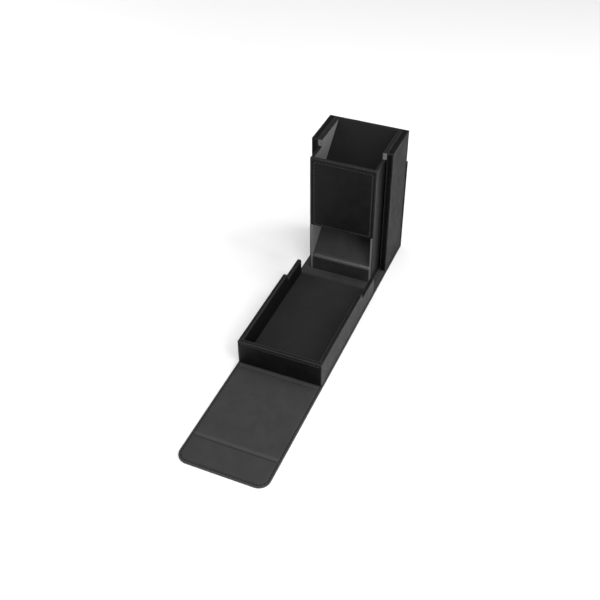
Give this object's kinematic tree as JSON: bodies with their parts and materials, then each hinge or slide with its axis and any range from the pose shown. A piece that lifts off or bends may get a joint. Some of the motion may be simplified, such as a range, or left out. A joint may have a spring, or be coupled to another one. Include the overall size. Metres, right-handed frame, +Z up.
{
  "type": "folding dice tower",
  "caption": "Folding dice tower in black leatherette over board: a baffled chute in a square shell, a hinged catch tray, and a wrap-over flap with a magnetic end flap.",
  "frame": {"origin": "on the table, under the middle of the opened object's bounding box", "axes": "+X across the width, +Y from the end flap through the tray to the tower, +Z up"},
  "size_m": [0.0802, 0.3336, 0.1362],
  "materials": {
    "leatherette": "satin, fine grain",
    "smooth_leatherette": "smooth, glossier",
    "cover_lining": "matte suede-like microfibre",
    "dark_suede": "darker short-nap suede",
    "grey_lining": "smooth grey lining cloth",
    "fibreboard": "raw fibreboard",
    "steel_plate": "plain steel",
    "magnet": "nickel plated"
  },
  "bodies": {
    "tower": {"base_skin": "leatherette", "base_board": "fibreboard", "base_lining": "cover_lining", "back_skin": "leatherette", "back_board": "fibreboard", "shell_cover": "leatherette", "shell_left_board": "fibreboard", "shell_right_board": "fibreboard", "shell_rear_board": "fibreboard", "catch_plate_left": "steel_plate", "catch_plate_right": "steel_plate", "chute_left_lining": "grey_lining", "chute_left_board": "fibreboard", "chute_left_cover": "leatherette", "chute_right_lining": "grey_lining", "chute_right_board": "fibreboard", "chute_right_cover": "leatherette", "chute_front_cover": "leatherette", "chute_front_board": "fibreboard", "upper_baffle_lining": "dark_suede", "upper_baffle_board": "fibreboard", "deflector_lining": "dark_suede", "deflector_board": "fibreboard", "lower_ramp_lining": "dark_suede", "lower_ramp_board": "fibreboard", "exit_lip_cover": "smooth_leatherette", "exit_lip_board": "fibreboard"},
    "tray": {"tray_skin": "leatherette", "tray_board": "fibreboard", "tray_lining": "cover_lining", "tray_floor_board": "fibreboard", "tray_floor_lining": "dark_suede", "tray_left_cover": "leatherette", "tray_left_board": "fibreboard", "tray_right_cover": "leatherette", "tray_right_board": "fibreboard", "tray_front_cover": "leatherette", "tray_front_board": "fibreboard", "tray_hinge_leather": "leatherette", "tray_hinge_lining": "cover_lining"},
    "flap": {"flap_skin": "leatherette", "flap_board": "fibreboard", "flap_lining": "cover_lining", "flap_hinge_leather": "leatherette", "flap_hinge_lining": "cover_lining"},
    "end_flap": {"end_flap_skin": "leatherette", "end_flap_board": "fibreboard", "end_flap_lining": "cover_lining", "end_flap_magnet_left": "magnet", "end_flap_magnet_right": "magnet", "end_flap_hinge_leather": "leatherette", "end_flap_hinge_lining": "cover_lining"}
  },
  "joints": [
    {"name": "tray_fold", "type": "hinge", "parent": "tower", "child": "tray", "pos_m": [0, 0.0846, 0.0006], "axis": [-1, 0, 0], "range_deg": [0, 90], "deforming": ["tray_hinge_leather", "tray_hinge_lining"]},
    {"name": "flap_fold", "type": "hinge", "parent": "tray", "child": "flap", "pos_m": [0, -0.05335, 0.0006], "axis": [-1, 0, 0], "range_deg": [0, 90], "deforming": ["flap_hinge_leather", "flap_hinge_lining"]},
    {"name": "end_flap_fold", "type": "hinge", "parent": "flap", "child": "end_flap", "pos_m": [0, -0.1376, 0.0006], "axis": [-1, 0, 0], "range_deg": [0, 90], "deforming": ["end_flap_hinge_leather", "end_flap_hinge_lining"]}
  ]
}
